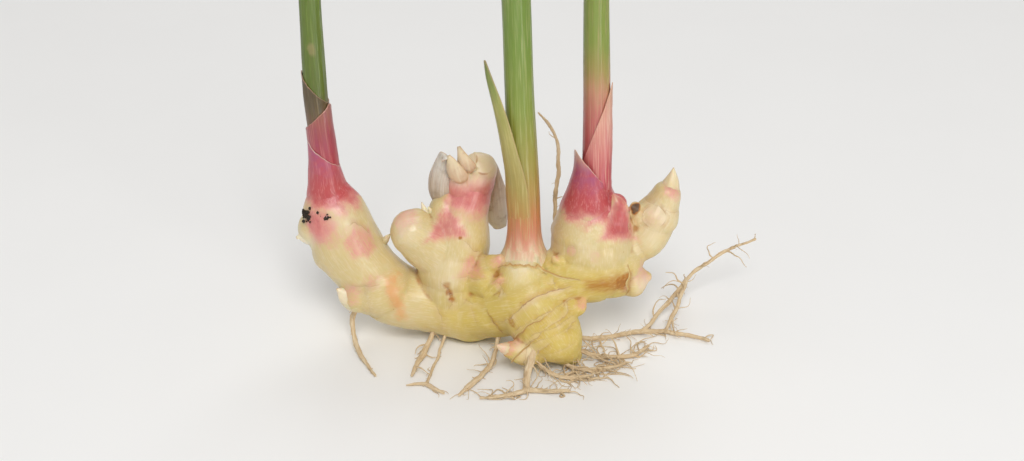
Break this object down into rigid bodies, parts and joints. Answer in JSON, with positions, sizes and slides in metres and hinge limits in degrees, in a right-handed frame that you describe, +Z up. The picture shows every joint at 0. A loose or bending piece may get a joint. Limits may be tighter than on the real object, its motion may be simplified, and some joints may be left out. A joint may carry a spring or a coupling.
{
  "type": "ginger root",
  "caption": "Fresh young ginger rhizome with branching fingers, upright cut leafy stems, pink sheaths, bud scales and fibrous roots, resting on its underside.",
  "frame": {"origin": "middle of the footprint, on the surface that the root rests on", "axes": "+X along the rhizome from the left stem towards the right finger, +Y from the front towards the back, +Z up along the stems"},
  "size_m": [0.1851, 0.0868, 0.161],
  "materials": {
    "rhizome": "moist thin cream-yellow skin, satin, blushing pink at the buds and under the stems",
    "stem": "smooth green leafy stem with fine lengthwise fibres, satin, pink at its foot",
    "sheath": "thin crimson to pink leaf sheath with lengthwise fibres, satin",
    "leaf": "olive green leaf blade, satin",
    "bract": "fleshy cream to grey-white bud scale, satin and slightly translucent",
    "bud_tip": "pale pointed bud scale, satin",
    "root": "matt tan fibrous root",
    "soil": "matt damp dark soil"
  },
  "bodies": {
    "root": {"rhizome": "rhizome", "stem_left": "stem", "stem_middle": "stem", "stem_right": "stem", "sheath_left_inner": "sheath", "sheath_left_middle": "sheath", "sheath_left_outer": "sheath", "sheath_right_inner": "sheath", "sheath_right_outer": "sheath", "scale_right_flank": "sheath", "leaf_middle": "leaf", "bract_cap": "bract", "bract_tooth_left": "bract", "bract_tooth_right": "bract", "bract_outer_left": "bract", "bract_outer_right": "bract", "spike_knob": "bud_tip", "spike_left_finger": "bud_tip", "tip_left_upper": "bud_tip", "tip_left_lower": "bud_tip", "tip_front_bud": "bud_tip", "tip_right_finger": "bud_tip", "root_right_long": "root", "root_right_middle": "root", "root_right_low": "root", "root_front_right": "root", "root_front": "root", "root_front_left": "root", "root_left_thick": "root", "root_left_thin": "root", "root_left_far": "root", "root_back": "root", "soil_crumb_large": "soil", "soil_crumb_middle": "soil", "soil_crumb_small": "soil"}
  },
  "joints": []
}
